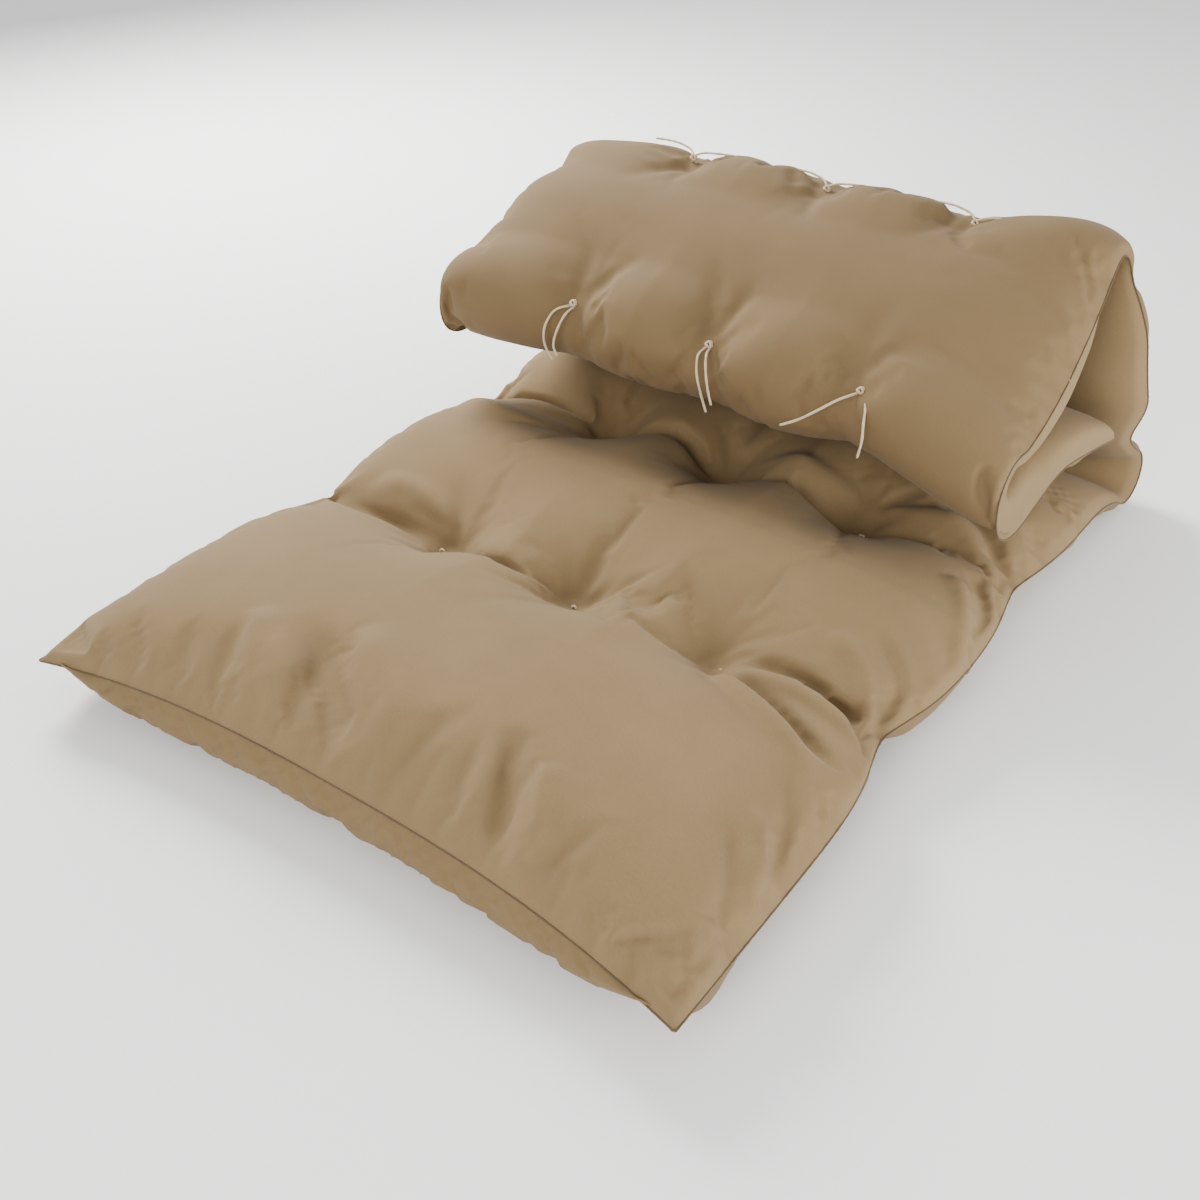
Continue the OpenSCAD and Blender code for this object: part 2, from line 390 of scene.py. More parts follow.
def addTails():
    for row in range(1, 6):
        spot = knotSpot(row)
        for side, x in zip(sideNames, tieX):
            routes = noseTails[side] if row == 5 else crestTails if row == 4 else floorTails
            for letter, route in zip("ab", routes):
                line = smoothRoute(route, 6) + np.array([x, spot[0], spot[1]])
                points, faces = tubeMesh(line, threadSetup["diameter"] / 2, threadSetup["around"],
                                         2, 2 * math.pi * threadSetup["twists"])
                name = f"tail_{row}_{side}_{letter}"
                obj = makeMesh(name, points, faces, thread)
                if row == 5:
                    bendNode(obj)
                else:
                    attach(obj, f"panel_{carriers[row - 1]}")
                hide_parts(f"tie_tails_{row}")


addTails()
print("thread tails made")


# Ties

tieSetup = {
    "bow": (0.0035, 0.0035, 0, 0, 0),    # how far each row's loop stands up in its dimple
    "top": 0.0028,
    "shoulder": 0.0016,
    "dive": 0.004,
    "knotRadius": 0.0030,
    "knotLean": 0.0012,
}


def addTies():
    radius = threadSetup["diameter"] / 2
    twist = 2 * math.pi * threadSetup["twists"]
    gap = threadSetup["strandGap"] / 2
    wide = tieSetup["knotRadius"]
    for row in range(1, 6):
        heading = headings[carriers[row - 1] - 1]
        across = np.array([1.0, 0, 0])
        up = np.array([0, -math.sin(heading), math.cos(heading)])
        along = np.array([0, math.cos(heading), math.sin(heading)])
        pivot = pivots[row - 1]
        bow = tieSetup["bow"][row - 1]
        for side, x in zip(sideNames, tieX):
            middle = np.array([x, pivot[0], pivot[1]])
            knot = middle - up * threadSetup["knotDrop"]
            low = middle - up * tieSetup["dive"]
            high = middle + up * (tieSetup["shoulder"] + bow)
            loop = [knot - across * gap, low - across * gap, high - across * gap * 0.8,
                    middle + up * (tieSetup["top"] + bow) + along * 0.0006,
                    high + across * gap * 0.8, low + across * gap, knot + across * gap]
            allPoints, allFaces = tubeMesh(smoothRoute(loop, 5), radius, 10, 2, twist)
            turn = [knot + across * wide * math.cos(a) + along * wide * math.sin(a)
                    + up * 0.0016 * math.sin(2 * a + 0.6) for a in np.linspace(0, 2 * math.pi * 1.9, 34)]
            wrap = [knot + across * wide * math.cos(a) + up * 0.0028 * math.sin(a)
                    + along * tieSetup["knotLean"] * math.cos(2 * a)
                    for a in np.linspace(0.4, 2 * math.pi * 1.3, 26)]
            for strand in (turn, wrap):
                points, faces = tubeMesh(strand, radius, 8, 2, twist)
                allFaces += [tuple(i + len(allPoints) for i in face) for face in faces]
                allPoints = np.vstack([allPoints, points])
            obj = makeMesh(f"tie_loop_{row}_{side}", allPoints, allFaces, thread)
            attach(obj, f"panel_{carriers[row - 1]}")
            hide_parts(f"tie_{row}_{side}")


addTies()
print("ties made")


# Cover: shape of the stuffed pillow over the flat cloth

pillow = {
    "above": (0.062, 0.062, 0.062, 0.048, 0.044, 0.034),      # fold line to the upper face, for each panel
    "below": (0.040, 0.040, 0.040, 0.043, 0.050, 0.041),      # fold line to the underside
    "seamLift": 0.006,        # seam over the fold line
    "edgePower": 4.2,
    "frontRun": 0.19,
    "endRun": 0.16,
    "valleyWidth": 0.066,
    "upperValley": (0.040, 0.045, 0.010, 0.010, 0.010),
    "lowerValley": (0.030, 0.030, 0.038, 0.033, 0.034),
    "upperPit": 0.054,
    "lowerPit": 0.041,
    "pitShare": (1, 1, 1, 0.6, 1),
    "tuftLevel": 0.0035,
    "knotLevel": -0.0205,
    "knotShift": (0, 0, -0.0135, 0.0125, -0.0155),    # from the fold line to the knots on the outer face
    "wideTurn": 0.12,         # distance over which one panel's height passes into the next
    "fullerEdge": 4.5,        # added to edgePower on the rolled panels
    "sideFall": 0.022,
    "valleyShare": (0.9, 0.85),    # upper and lower cloth
    "creaseEdge": 0.05,
    "noseSwell": 0.008,
    "lowerPower": 5,
    "lowerFrontRun": 0.075,
    "lowerEndRun": 0.12,
    "pinchWidth": (0.062, 0.062, 0.062, 0.15, 0.15),
    "backBulge": 0.026,       # the right edge stands out behind the roll
    "mouthSwell": 0.026,
    "leftPinch": (0.021, 0.020, 0.006, 0.010, 0.008),
    "rightPinch": (0.021, 0.016, -0.004, 0.030, 0.024),
}
gridSetup = {
    "across": 100,       # cells across the cloth
    "along": 240,
}


def smoothStep(t):
    t = np.clip(t, 0, 1)
    return t * t * (3 - 2 * t)


def hump(t, width):
    return np.exp(-(t / width) ** 2)


def alongBlend(s, values):
    level = np.full_like(s, values[0])
    for row, at in enumerate(rowAt):
        level = level + (values[row + 1] - values[row]) * smoothStep((s - at) / pillow["wideTurn"] + 0.5)
    return level


def roundEdge(t, power):
    return np.sqrt(np.clip(1 - np.clip(1 - t, 0, 1) ** power, 0, 1))


def seamLevel(s):
    fold = -0.030 * hump(s - rowAt[2], 0.05) - 0.012 * hump(s - rowAt[3], 0.05)
    fold = fold - 0.014 * smoothStep((s - rowAt[3] - 0.03) / 0.08)
    return pillow["seamLift"] + fold - 0.046 * hump(s - rowAt[4] - 0.045, 0.045)


def pitAt(x, s, size, shifts=(0, 0, 0, 0, 0), shares=(1, 1, 1, 1, 1)):
    deepest = np.zeros_like(x)
    for at, share in zip(rowAt + np.array(shifts), shares):
        width = size * share
        for tx in tieX:
            far = np.hypot((x - tx) / width, (s - at) / width)
            deepest = np.maximum(deepest, np.exp(-far))
    return deepest


def valleyAt(s, levels):
    strength = np.zeros_like(s)
    level = np.zeros_like(s)
    for at, low in zip(rowAt, levels):
        share = np.exp(-(np.abs(s - at) / pillow["valleyWidth"]) ** 1.4)
        level = np.where(share > strength, low, level)
        strength = np.maximum(strength, share)
    return strength, level


# How strongly the cloth is drawn down along rows 1 and 2, at places across it
rowDraw = {
    "x": (-0.35, -0.26, -0.168, -0.085, 0.0, 0.085, 0.168, 0.26, 0.35),
    "draw": (
        (1.0, 0.95, 1.0, 0.75, 0.8, 0.45, 0.75, 0.55, 0.95),
        (0.85, 0.6, 0.85, 0.65, 0.9, 0.45, 0.7, 0.4, 0.85),
    ),
}

# Folds of the upper face, as places (x, s) on the flat cloth; depth is down where it is negative
creases = [
    {"line": ((-0.34, 0.372), (-0.25, 0.360), (-0.168, 0.352), (-0.09, 0.338), (-0.04, 0.343)), "width": 0.011,
     "depth": -0.013},
    {"line": ((-0.30, 0.395), (-0.22, 0.392), (-0.15, 0.372)), "width": 0.012, "depth": 0.007},
    {"line": ((-0.135, 0.130), (-0.071, 0.080), (-0.030, 0.048), (0.004, 0.018)), "width": 0.019,
     "depth": -0.011},
    {"line": ((-0.175, 0.110), (-0.125, 0.070), (-0.080, 0.022)), "width": 0.020, "depth": 0.006},
    {"line": ((-0.075, 0.150), (-0.005, 0.095), (0.045, 0.030)), "width": 0.022, "depth": 0.007},
    {"line": ((0.110, 0.118), (0.140, 0.062), (0.164, 0.006)), "width": 0.012, "depth": -0.009},
    {"line": ((0.158, 0.100), (0.176, 0.060), (0.194, 0.012)), "width": 0.011, "depth": 0.006},
    {"line": ((0.178, 0.330), (0.205, 0.302), (0.240, 0.280), (0.285, 0.256), (0.322, 0.240)), "width": 0.009,
     "depth": 0.010},
    {"line": ((0.180, 0.338), (0.225, 0.312), (0.280, 0.284), (0.330, 0.270)), "width": 0.010, "depth": -0.012},
    {"line": ((0.185, 0.348), (0.236, 0.334), (0.300, 0.326), (0.340, 0.318)), "width": 0.009, "depth": 0.009},
    {"line": ((0.190, 0.366), (0.260, 0.362), (0.336, 0.346)), "width": 0.009, "depth": -0.010},
    {"line": ((0.240, 0.420), (0.298, 0.392), (0.344, 0.345)), "width": 0.008, "depth": 0.007},
    {"line": ((0.270, 0.440), (0.322, 0.405), (0.346, 0.350)), "width": 0.007, "depth": -0.006},
    {"line": ((0.290, 0.236), (0.322, 0.190), (0.345, 0.140)), "width": 0.009, "depth": -0.006},
    {"line": ((0.300, 0.180), (0.325, 0.146), (0.342, 0.108)), "width": 0.008, "depth": 0.005},
    {"line": ((0.290, 0.150), (0.316, 0.112), (0.335, 0.074)), "width": 0.009, "depth": -0.006},
    {"line": ((-0.165, 0.628), (-0.110, 0.640), (-0.050, 0.640), (0.0, 0.626)), "width": 0.011,
     "depth": -0.012},
    {"line": ((0.010, 0.640), (0.060, 0.652), (0.150, 0.650), (0.235, 0.650), (0.285, 0.642), (0.335, 0.600)),
     "width": 0.013, "depth": 0.011},
    {"line": ((0.02, 0.618), (0.120, 0.622), (0.225, 0.618), (0.290, 0.612)), "width": 0.010, "depth": -0.009},
    {"line": ((0.210, 0.690), (0.280, 0.672), (0.340, 0.632)), "width": 0.011, "depth": -0.009},
    {"line": ((0.290, 0.560), (0.316, 0.530), (0.346, 0.462)), "width": 0.010, "depth": 0.006},
    {"line": ((0.305, 0.590), (0.332, 0.550), (0.348, 0.500)), "width": 0.009, "depth": -0.006},
    {"line": ((-0.344, 0.632), (-0.26, 0.640), (-0.19, 0.634)), "width": 0.012, "depth": -0.008},
    {"line": ((-0.34, 0.585), (-0.27, 0.560), (-0.20, 0.560)), "width": 0.014, "depth": 0.005},
]
tuftRays = {"count": 8, "length": 0.075, "width": 0.0055, "depth": 0.0045, "seed": 11}


def creaseHeight(x, s, line, width, depth):
    line = smoothRoute(line, 4)
    nearest = np.full_like(x, 9.0)
    share = np.zeros_like(x)
    steps = len(line) - 1
    for k, (a, b) in enumerate(zip(line[:-1], line[1:])):
        run = b - a
        t = np.clip(((x - a[0]) * run[0] + (s - a[1]) * run[1]) / (run @ run), 0, 1)
        far = np.hypot(x - a[0] - t * run[0], s - a[1] - t * run[1])
        share = np.where(far < nearest, (k + t) / steps, share)
        nearest = np.minimum(nearest, far)
    return depth * hump(nearest, width) * smoothStep(share / 0.3) * smoothStep((1 - share) / 0.3)


def rayHeight(x, s, rows, seed, shifts=(0, 0, 0, 0, 0)):
    chance = np.random.default_rng(seed)
    total = np.zeros_like(x)
    for row in rows:
        for tx in tieX:
            first = chance.uniform(0, math.pi)
            for k in range(tuftRays["count"]):
                angle = first + 2 * math.pi * (k + chance.uniform(-0.3, 0.3)) / tuftRays["count"]
                far = tuftRays["length"] * chance.uniform(0.6, 1.35)
                dx, ds = math.cos(angle), math.sin(angle)
                fromTie = s - rowAt[row] - shifts[row]
                along = (x - tx) * dx + fromTie * ds
                side = -(x - tx) * ds + fromTie * dx + 0.12 * along * np.sin(along * 40 + k)
                window = smoothStep(along / 0.012) * smoothStep((far - along) / (far * 0.8))
                depth = tuftRays["depth"] * chance.uniform(0.5, 1.3)
                total -= depth * hump(side, tuftRays["width"] + along * 0.12) * window
    return total


def upperHeight(u, x, s):
    full = alongBlend(s, pillow["above"])
    seam = seamLevel(s)
    power = pillow["edgePower"] + pillow["fullerEdge"] * smoothStep((s - rowAt[3]) / 0.1)
    edge = np.sqrt(np.clip(1 - np.abs(u) ** power, 0, 1))
    ends = roundEdge(s / pillow["frontRun"], 2.6) * roundEdge((clothLength - s) / pillow["endRun"], 2.6)
    height = seam + (full - seam) * edge * ends
    strength, level = valleyAt(s, pillow["upperValley"])
    level = level - pillow["sideFall"] * smoothStep((np.abs(x) - tieX[2]) / 0.12)
    low = seam + (level - seam) * edge
    for at, draw in zip(rowAt[:2], rowDraw["draw"]):
        strength = np.where(np.abs(s - at) < 0.12, strength * np.interp(x, rowDraw["x"], draw), strength)
    height = height + (low - height) * strength * pillow["valleyShare"][0]
    folds = sum(creaseHeight(x, s, **crease) for crease in creases)
    height = height + folds * smoothStep((1 - np.abs(u)) / pillow["creaseEdge"])
    height = height + (pillow["tuftLevel"] - height) * pitAt(x, s, pillow["upperPit"])
    for turn, at in zip(turns, rowAt):
        if turn > 0:
            limit = (np.abs(s - at) * math.cos(turn / 2) - 0.001) / math.sin(turn / 2)
            height = np.minimum(height, limit)
    return height


def lowerHeight(u, x, s):
    full = alongBlend(s, pillow["below"]) + pillow["noseSwell"] * hump(s - rowAt[4] - 0.05, 0.04)
    seam = seamLevel(s)
    edge = np.sqrt(np.clip(1 - np.abs(u) ** pillow["lowerPower"], 0, 1))
    ends = roundEdge(s / pillow["lowerFrontRun"], 2.2)
    ends = ends * roundEdge((clothLength - s) / pillow["lowerEndRun"], 2.2)
    height = seam - (full + seam) * edge * ends
    strength, level = valleyAt(s, pillow["lowerValley"])
    low = seam - (level + seam) * edge
    height = height + (low - height) * strength * pillow["valleyShare"][1]
    drawn = pitAt(x, s, pillow["lowerPit"], pillow["knotShift"], pillow["pitShare"])
    return height + (pillow["knotLevel"] - height) * drawn


def clothX(u, s):
    left, right = np.zeros_like(s), np.zeros_like(s)
    for row, at in enumerate(rowAt):
        near = np.exp(-(np.abs(s - at) / pillow["pinchWidth"][row]) ** 1.6)
        left = left + pillow["leftPinch"][row] * near
        right = right + pillow["rightPinch"][row] * near
    behind = smoothStep((rowAt[3] + 0.01 - s) / 0.09) * smoothStep((s - rowAt[2] - 0.05) / 0.09)
    right = right - pillow["backBulge"] * behind
    return u * (halfWidth - np.where(u > 0, right, left))


bend = {"middle": 0.022, "outside": 1.1, "inside": 0.010, "insideFrom": 0.02}    # half length of a fold


def roll(s, height):
    nearest = np.argmin(np.abs(s[..., None] - rowAt), axis=-1)
    away = s - rowAt[nearest]
    reach = bend["middle"] + bend["outside"] * np.clip(-height, 0, 1)
    reach = reach - bend["inside"] * np.clip(height / bend["insideFrom"], 0, 1)
    angle = headings[nearest] + turns[nearest] * smoothStep(0.5 + away / (2 * reach))
    y = pivots[nearest, 0] + away * np.cos(angle) - height * np.sin(angle)
    z = pivots[nearest, 1] + away * np.sin(angle) + height * np.cos(angle)
    return y, z


def coverSheets():
    u = np.linspace(-1, 1, gridSetup["across"] + 1)
    u = np.sign(u) * np.abs(u) ** 0.94
    s = np.linspace(0, clothLength, gridSetup["along"] + 1)
    uu, ss = np.meshgrid(u, s)
    flatX = uu * halfWidth
    sheets = []
    for heightAt in (upperHeight, lowerHeight):
        height = heightAt(uu, flatX, ss)
        for border in (np.s_[:, 0], np.s_[:, -1], np.s_[0], np.s_[-1]):
            height[border] = seamLevel(ss)[border]
        y, z = roll(ss, height)
        x = clothX(uu, ss)
        if heightAt is upperHeight:      # the inner face swells out past the seam at the ends of the roll
            swell = np.sin(math.pi * np.clip((np.abs(uu) - 0.78) / 0.22, 0, 1))
            swell = swell * smoothStep((ss - rowAt[3]) / 0.08)
            x = x + pillow["mouthSwell"] * swell * np.sign(uu)
        sheets.append(np.stack([x, y, z], axis=-1))
    return sheets, flatX, ss


# The front seam is drawn back and lifted between its corners, and the underside swells out below it
front = {
    "back": 0.028,
    "lift": 0.016,
    "reach": 0.11,
    "swell": 0.022,
    "fall": 0.085,
    "cornerReach": 0.08,    # the underside comes up to the seam this near a front corner
    "cornerShare": 0.85,
}


def frontShape(points, flatX, s, underside):
    shape = 1 - (np.abs(flatX) / halfWidth) ** 2.6
    near = np.exp(-(s / front["reach"]) ** 1.5)
    points[..., 1] += front["back"] * shape * near
    if not underside:
        points[..., 2] += front["lift"] * shape * near
        return
    t = np.clip(s / front["fall"], 0, 1)
    edge = (1 - (np.abs(flatX) / halfWidth) ** 9)
    seamZ = foldHeight + pillow["seamLift"] + front["lift"] * shape
    inFront = t < 1
    ownY = frontY + front["back"] * shape - front["swell"] * edge * np.sin(math.pi * t ** 0.85)
    ownY = ownY + t ** 1.6 * (front["fall"] - front["back"] * shape * 0.5)
    ownZ = seamZ * np.clip(1 - t / 0.78, 0, 1) ** 0.9
    blend = smoothStep((1 - t) / 0.35)
    points[..., 1] = np.where(inFront, points[..., 1] * (1 - blend) + ownY * blend, points[..., 1])
    points[..., 2] = np.where(inFront, points[..., 2] * (1 - blend) + ownZ * blend, points[..., 2])
    corner = front["cornerShare"] * hump(np.hypot(halfWidth - np.abs(flatX), s), front["cornerReach"])
    points[..., 2] += (seamZ - points[..., 2]) * corner


# The front of the roll hangs lower at its right end, and the back corner stands out at the floor
sag = {
    "left": 0.010,
    "fall": 0.028,
    "crestLeft": 0.015,
    "crestRight": 0.017,
    "ear": 0.016,
    "earOut": 0.004,
}


def settle(points, flatX, s):
    rolled = smoothStep((s - rowAt[3] + 0.02) / 0.1)
    frontward = smoothStep((0.34 - points[..., 1]) / 0.2)
    lift = sag["left"] * smoothStep((s - rowAt[4]) / 0.05)
    points[..., 2] += (lift - sag["fall"] * smoothStep((flatX - 0.18) / 0.17)) * rolled * frontward
    crestLeft = smoothStep((-flatX - 0.10) / 0.2) * smoothStep((points[..., 2] - 0.2) / 0.08)
    points[..., 2] -= sag["crestLeft"] * crestLeft * smoothStep((points[..., 1] - 0.2) / 0.12)
    crestRight = smoothStep((flatX - 0.20) / 0.13) * smoothStep((points[..., 2] - 0.18) / 0.10)
    points[..., 2] += sag["crestRight"] * crestRight * smoothStep((points[..., 1] - 0.2) / 0.12)
    corner = hump(s - rowAt[2], 0.06) * np.clip((np.abs(flatX) - 0.24) / 0.11, 0, 1) ** 2
    points[..., 1] += sag["ear"] * corner * np.where(flatX > 0, 1, 0.4)
    points[..., 0] += sag["earOut"] * corner * np.sign(flatX)


(upper, lower), flatX, flatS = coverSheets()
for sheet in (upper, lower):
    frontShape(sheet, flatX, flatS, sheet is lower)
    settle(sheet, flatX, flatS)
    sheet[..., 2] = np.maximum(sheet[..., 2], 0.0006)
lower[0], lower[-1], lower[:, 0], lower[:, -1] = upper[0], upper[-1], upper[:, 0], upper[:, -1]
print("cover laid out", upper.shape)


# Cloth simulation on both faces together

clothSetup = {
    "frames": 22,
    "pressure": 5.0,
    "growth": 0.045,      # spare cloth, as a share of its size
    "cap": 0.012,         # most that a point may move
    "rollCap": 0.009,
}


def sheetFaces(rows, columns, flip, index):
    faces = []
    for i in range(rows):
        for j in range(columns):
            quad = (index[i, j], index[i, j + 1], index[i + 1, j + 1], index[i + 1, j])
            faces.append(quad[::-1] if flip else quad)
    return faces


def relaxCover(upper, lower):
    rows, columns = upper.shape[0], upper.shape[1]
    upperIndex = np.arange(rows * columns).reshape(rows, columns)
    lowerIndex = upperIndex.copy()
    inner = lowerIndex[1:-1, 1:-1]
    inner[...] = rows * columns + np.arange(inner.size).reshape(inner.shape)
    points = np.vstack([upper.reshape(-1, 3), lower[1:-1, 1:-1].reshape(-1, 3)])
    faces = sheetFaces(rows - 1, columns - 1, False, upperIndex)
    faces += sheetFaces(rows - 1, columns - 1, True, lowerIndex)
    mesh = bpy.data.meshes.new("clothDraft")
    mesh.from_pydata(points.tolist(), [], faces)
    obj = bpy.data.objects.new("clothDraft", mesh)
    scene.collection.objects.link(obj)
    upperPin = np.clip(pitAt(flatX, flatS, 0.016) * 1.8, 0, 1)
    inside = smoothStep((flatS - (rowAt[2] - 0.16)) / 0.05)
    upperPin = np.maximum(upperPin, inside)
    lowerPin = np.clip(pitAt(flatX, flatS, 0.016, pillow["knotShift"]) * 1.8, 0, 1)
    onFloor = (lower[..., 2] < 0.003) * 1.0
    lowerPin = np.maximum(lowerPin, onFloor)
    seam = np.zeros_like(flatS)
    seam[0, :] = seam[-1, :] = seam[:, 0] = seam[:, -1] = 1
    upperPin = np.maximum(upperPin, seam)
    weights = np.concatenate([upperPin.ravel(), lowerPin[1:-1, 1:-1].ravel()])
    group = obj.vertex_groups.new(name="held")
    for i in np.nonzero(weights > 0.01)[0]:
        group.add([int(i)], float(min(weights[i], 1)), "REPLACE")
    modifier = obj.modifiers.new("drape", "CLOTH")
    settings = modifier.settings
    settings.quality = 6
    settings.mass = 0.35
    settings.tension_stiffness = 14
    settings.compression_stiffness = 10
    settings.shear_stiffness = 6
    settings.bending_stiffness = 0.35
    settings.tension_damping = settings.compression_damping = settings.shear_damping = 12
    settings.bending_damping = 0.6
    settings.air_damping = 4
    settings.vertex_group_mass = "held"
    settings.pin_stiffness = 1.5
    settings.shrink_min = -clothSetup["growth"]
    settings.use_pressure = True
    settings.uniform_pressure_force = clothSetup["pressure"]
    settings.effector_weights.gravity = 0
    modifier.collision_settings.use_collision = False
    modifier.point_cache.frame_start = 1
    modifier.point_cache.frame_end = clothSetup["frames"]
    for step in range(1, clothSetup["frames"] + 1):
        scene.frame_set(step)
    shaped = obj.evaluated_get(bpy.context.evaluated_depsgraph_get())
    moved = np.empty(len(points) * 3)
    shaped.data.vertices.foreach_get("co", moved)
    moved = moved.reshape(-1, 3)
    scene.frame_set(1)
    bpy.data.objects.remove(obj)
    step = moved - points
    size = np.linalg.norm(step, axis=1)
    print("cloth moved, mm:", round(float(size.mean()) * 1000, 1), "to", round(float(size.max()) * 1000, 1))
    allRows = np.concatenate([flatS.ravel(), flatS[1:-1, 1:-1].ravel()])
    onRoll = smoothStep((allRows - rowAt[2] - 0.02) / 0.06)
    tied = np.concatenate([pitAt(flatX, flatS, 0.05).ravel(),
                           pitAt(flatX, flatS, 0.05, pillow["knotShift"])[1:-1, 1:-1].ravel()])
    cap = (clothSetup["cap"] + (clothSetup["rollCap"] - clothSetup["cap"]) * onRoll) * (1 - 0.85 * tied)
    limited = cap * np.tanh(size / cap)
    moved = points + step * (limited / np.maximum(size, 1e-9))[:, None]
    return moved[upperIndex], moved[lowerIndex]


upper, lower = relaxCover(upper, lower)
for sheet in (upper, lower):
    sheet[..., 2] = np.maximum(sheet[..., 2], 0.0006)
print("cover relaxed")


# Finer grid, creases and the split into pieces

def finer(grid):
    def along(values):
        padded = np.concatenate([2 * values[:1] - values[1:2], values, 2 * values[-1:] - values[-2:-1]])
        middle = (-padded[:-3] + 9 * padded[1:-2] + 9 * padded[2:-1] - padded[3:]) / 16
        out = np.empty((len(values) * 2 - 1,) + values.shape[1:])
        out[0::2] = values
        out[1::2] = middle
        return out
    return along(along(grid).swapaxes(0, 1)).swapaxes(0, 1)


def normalsOf(grid, flip):
    down = np.gradient(grid, axis=0)
    across = np.gradient(grid, axis=1)
    normal = np.cross(across, down)
    normal /= np.maximum(np.linalg.norm(normal, axis=-1, keepdims=True), 1e-9)
    return -normal if flip else normal


def arcPlace(grid):
    across = np.concatenate([np.zeros((grid.shape[0], 1)),
                             np.cumsum(np.linalg.norm(np.diff(grid, axis=1), axis=2), axis=1)], axis=1)
    across -= across[:, across.shape[1] // 2][:, None]
    middle = grid[:, ::8].mean(axis=1)
    along = np.concatenate([[0], np.cumsum(np.linalg.norm(np.diff(middle, axis=0), axis=1))])
    return np.stack([across, np.repeat(along[:, None], grid.shape[1], axis=1)], axis=-1)


upper, lower = finer(upper), finer(lower)
fineS = finer(flatS[..., None])[..., 0]
fineX = finer(flatX[..., None])[..., 0]
for sheet in (upper, lower):
    sheet[..., 2] = np.maximum(sheet[..., 2], 0.0005)
lower[0], lower[-1], lower[:, 0], lower[:, -1] = upper[0], upper[-1], upper[:, 0], upper[:, -1]
upperNormals, lowerNormals = normalsOf(upper, False), normalsOf(lower, True)
calm = smoothStep((halfWidth - np.abs(fineX)) / 0.012) * smoothStep(fineS / 0.008)
calm = calm * (1 - pitAt(fineX, fineS, 0.006))
folds = sum(creaseHeight(fineX, fineS, **crease) for crease in creases) * 0.3
folds = (folds + rayHeight(fineX, fineS, (0, 1), tuftRays["seed"])) * calm
upper = upper + upperNormals * folds[..., None]
outerFolds = rayHeight(fineX, fineS, (3, 4), tuftRays["seed"] + 1, pillow["knotShift"]) * calm
lower = lower + lowerNormals * outerFolds[..., None]
lower[0], lower[-1], lower[:, 0], lower[:, -1] = upper[0], upper[-1], upper[:, 0], upper[:, -1]
upperNormals, lowerNormals = normalsOf(upper, False), normalsOf(lower, True)
upperPlace, lowerPlace = arcPlace(upper), arcPlace(lower)
sections = {
    "cover_front_end": {"row": 1, "zone": 0.045, "nodes": ("cover_top_1", "cover_bottom_1")},
    "cover_front_half": {"row": 2, "zone": 0.045, "nodes": ("cover_top_2", "cover_bottom_2")},
    "cover_floor_fold": {"row": 3, "zone": 0.022, "nodes": ("cover_top_3", "cover_bottom_3")},
    "cover_crest_fold": {"row": 4, "zone": 0.010, "nodes": ("cover_top_4", "cover_bottom_4")},
    "cover_front_fold": {"row": 5, "zone": 0.020,
                         "nodes": ("cover_top_5", "cover_bottom_5", "cover_top_6", "cover_bottom_6")},
}


def cutLines():
    s = fineS[:, 0]
    middles = [(a + b) / 2 for a, b in zip(rowAt[:-1], rowAt[1:])]
    upperCuts = [int(np.argmin(np.abs(s - m))) for m in middles]
    lowerCuts = list(upperCuts)
    upperCuts[3] = int(np.argmin(np.abs(s - (rowAt[3] + 0.064))))
    last = len(s) - 1
    return [0] + upperCuts + [last], [0] + lowerCuts + [last]


def addCover():
    upperCuts, lowerCuts = cutLines()
    columns = upper.shape[1]
    for number, (name, part) in enumerate(sections.items()):
        points, normals, places, faces = [], [], [], []
        for grid, normal, place, cuts, flip in (
                (upper, upperNormals, upperPlace, upperCuts, False),
                (lower, lowerNormals, lowerPlace, lowerCuts, True)):
            a, b = cuts[number], cuts[number + 1]
            offset = sum(len(block) for block in points)
            points.append(grid[a:b + 1].reshape(-1, 3))
            normals.append(normal[a:b + 1].reshape(-1, 3))
            places.append(place[a:b + 1].reshape(-1, 2) + (3.0 if flip else 0.0))
            index = offset + np.arange((b - a + 1) * columns).reshape(b - a + 1, columns)
            faces += sheetFaces(b - a, columns - 1, flip, index)
        points, normals, places = np.vstack(points), np.vstack(normals), np.vstack(places)
        obj = makeMesh(name, points, faces, cloth)
        attribute = obj.data.attributes.new("clothPlace", "FLOAT_VECTOR", "POINT")
        attribute.data.foreach_set("vector", np.column_stack([places, np.zeros(len(places))]).ravel())
        obj.data.normals_split_custom_set_from_vertices(normals.tolist())
        bendNode(obj)
        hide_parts(*part["nodes"])


# Seam: the thin dark line where the two cloths meet, all round; the seam is real, and its near-black colour is
# painted shade standing in for the shadow along the seam's crease

seamSetup = {"radius": 0.0009, "around": 6, "step": 0.004, "pucker": 900.0}


def seamLine(a, b):
    sides = [upper[a:b + 1, 0], upper[a:b + 1, -1]]
    if a == 0:
        sides = [np.vstack([upper[a:b + 1, 0][::-1], upper[0, 1:-1], upper[a:b + 1, -1]])]
    if b == upper.shape[0] - 1:
        sides = [np.vstack([upper[a:b + 1, 0], upper[-1, 1:-1], upper[a:b + 1, -1][::-1]])]
    return sides


def evenly(line, step):
    travelled = np.concatenate([[0], np.cumsum(np.linalg.norm(np.diff(line, axis=0), axis=1))])
    places = np.arange(0, travelled[-1], step)
    return np.stack([np.interp(places, travelled, line[:, k]) for k in range(3)], axis=-1)


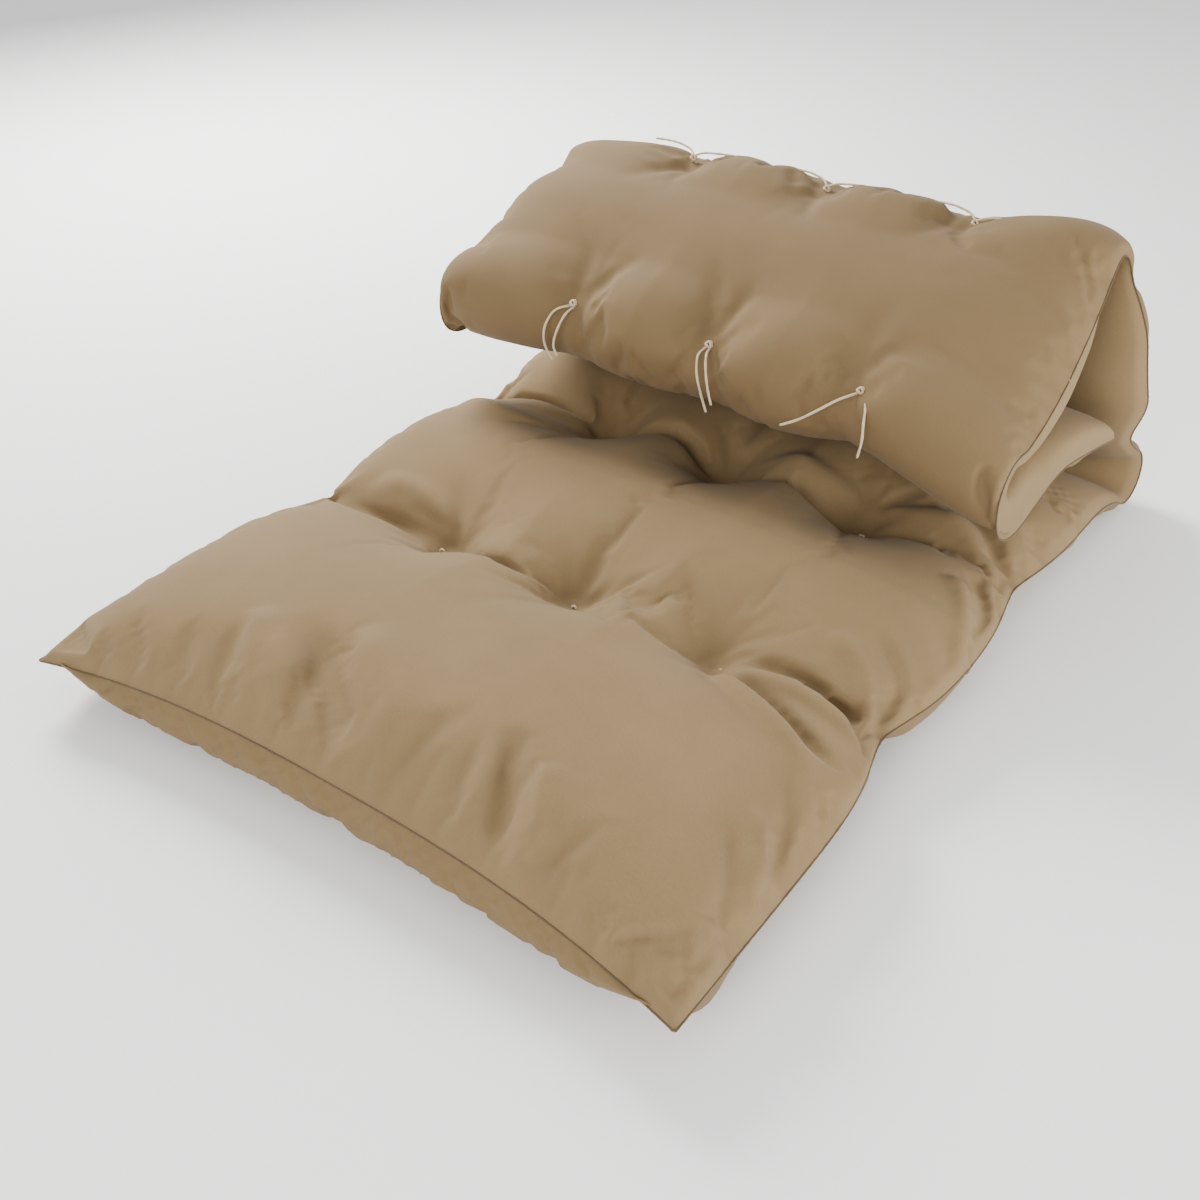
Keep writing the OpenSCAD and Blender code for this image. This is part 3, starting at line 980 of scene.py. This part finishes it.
def addSeam():
    lowerCuts = cutLines()[1]
    for number, (name, part) in enumerate(sections.items()):
        a, b = lowerCuts[number], lowerCuts[number + 1]
        blocks, faces, count = [], [], 0
        for line in seamLine(a, b):
            points, quads = tubeMesh(evenly(line, seamSetup["step"]), seamSetup["radius"],
                                     seamSetup["around"], 1, seamSetup["pucker"])
            blocks.append(points)
            faces += [tuple(i + count for i in face) for face in quads]
            count += len(points)
        obj = makeMesh(name.replace("cover", "seam"), np.vstack(blocks), faces, seamShadeLine)
        bendNode(obj)


addCover()
addSeam()
print("cover pieces made")


# Batting: three layers in each panel, inside the cover

layers = {
    "lower": {"share": (0.12, 0.33), "material": felt, "slot": "felt_batting"},
    "core": {"share": (0.36, 0.60), "material": coreFill, "slot": "core_batting"},
    "upper": {"share": (0.63, 0.84), "material": felt, "slot": "felt_batting"},
}
battingGrid = {"across": 40, "along": 24, "reach": 0.88, "clear": 0.055, "end": 0.06}


def sampleSheet(grid, s, u):
    rows = s / clothLength * (grid.shape[0] - 1)
    columns = (np.interp(u, fineX[0] / halfWidth, np.arange(grid.shape[1])))
    i = np.clip(rows.astype(int), 0, grid.shape[0] - 2)
    j = np.clip(columns.astype(int), 0, grid.shape[1] - 2)
    fi, fj = (rows - i)[..., None], (columns - j)[..., None]
    return ((grid[i, j] * (1 - fj) + grid[i, j + 1] * fj) * (1 - fi)
            + (grid[i + 1, j] * (1 - fj) + grid[i + 1, j + 1] * fj) * fi)


def addBatting():
    edges = [0.0, *rowAt, clothLength]
    for panel in range(1, 7):
        a = edges[panel - 1] + (battingGrid["end"] if panel == 1 else battingGrid["clear"])
        b = edges[panel] - (battingGrid["end"] if panel == 6 else battingGrid["clear"])
        s = np.linspace(a, b, battingGrid["along"] + 1)
        u = np.linspace(-1, 1, battingGrid["across"] + 1) * battingGrid["reach"]
        uu, ss = np.meshgrid(u, s)
        top = sampleSheet(upper, ss, uu)
        bottom = sampleSheet(lower, ss, uu)
        rimAcross = 1 - np.abs(np.linspace(-1, 1, len(u))) ** 6
        rimAlong = 1 - np.abs(np.linspace(-1, 1, len(s))) ** 6
        rim = np.minimum(rimAcross, rimAlong[:, None])
        for name, layer in layers.items():
            low, high = layer["share"]
            middle = (low + high) / 2
            reach = (high - low) / 2 * (0.35 + 0.65 * rim)[..., None]
            floorFace = bottom + (top - bottom) * (middle - reach)
            roofFace = bottom + (top - bottom) * (middle + reach)
            rows, columns = roofFace.shape[:2]
            index = np.arange(rows * columns).reshape(rows, columns)
            faces = sheetFaces(rows - 1, columns - 1, False, index)
            faces += sheetFaces(rows - 1, columns - 1, True, index + rows * columns)
            ring = list(index[0]) + list(index[1:, -1]) + list(index[-1, -2::-1]) + list(index[-2:0:-1, 0])
            step = rows * columns
            faces += [(ring[k], ring[k] + step, ring[(k + 1) % len(ring)] + step, ring[(k + 1) % len(ring)])
                      for k in range(len(ring))]
            faces = [tuple(int(i) for i in face) for face in faces]
            points = np.vstack([roofFace.reshape(-1, 3), floorFace.reshape(-1, 3)])
            obj = makeMesh(f"batting_{name}_layer_{panel}", points, faces, layer["material"])
            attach(obj, f"panel_{panel}")
            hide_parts(f"batting_{name}_{panel}")


addBatting()
print("batting made")


# Floor and light

def addFloor():
    size = 8.0    # half its width
    corners = [(-size, -size, 0), (size, -size, 0), (size, size, 0), (-size, size, 0)]
    mesh = bpy.data.meshes.new("studioFloor")
    mesh.from_pydata(corners, [], [(0, 1, 2, 3)])
    mesh.materials.append(floorMaterial())
    obj = bpy.data.objects.new("studioFloor", mesh)
    scene.collection.objects.link(obj)
    return obj


def addLamp(name, place, aim, size, power, tint):
    lamp = bpy.data.lights.new(name, "AREA")
    lamp.shape = "DISK"
    lamp.size = size
    lamp.energy = power
    lamp.color = tint
    obj = bpy.data.objects.new(name, lamp)
    obj.location = place
    obj.rotation_euler = (Vector(place) - Vector(aim)).to_track_quat("Z", "Y").to_euler()
    scene.collection.objects.link(obj)
    return obj


def addWorld(strength):
    world = bpy.data.worlds.new("studioWorld")
    world.use_nodes = True
    world.node_tree.nodes["Background"].inputs["Color"].default_value = (1, 1, 1, 1)
    world.node_tree.nodes["Background"].inputs["Strength"].default_value = strength
    scene.world = world


stagePieces = [
    addFloor(),
    addLamp("keyLamp", (-1.65, 0.75, 1.3), (0, 0, 0.1), 1.0, 96, (1, 0.985, 0.96)),
    addLamp("sideLamp", (1.9, 0.25, 0.42), (0.3, 0.3, 0.2), 0.9, 40, (1, 0.99, 0.97)),
    addLamp("frontLamp", (0.4, -1.9, 0.95), (0, 0.2, 0.1), 1.2, 28, (1, 0.99, 0.97)),
]
addWorld(0.96)
print("floor and lights placed")
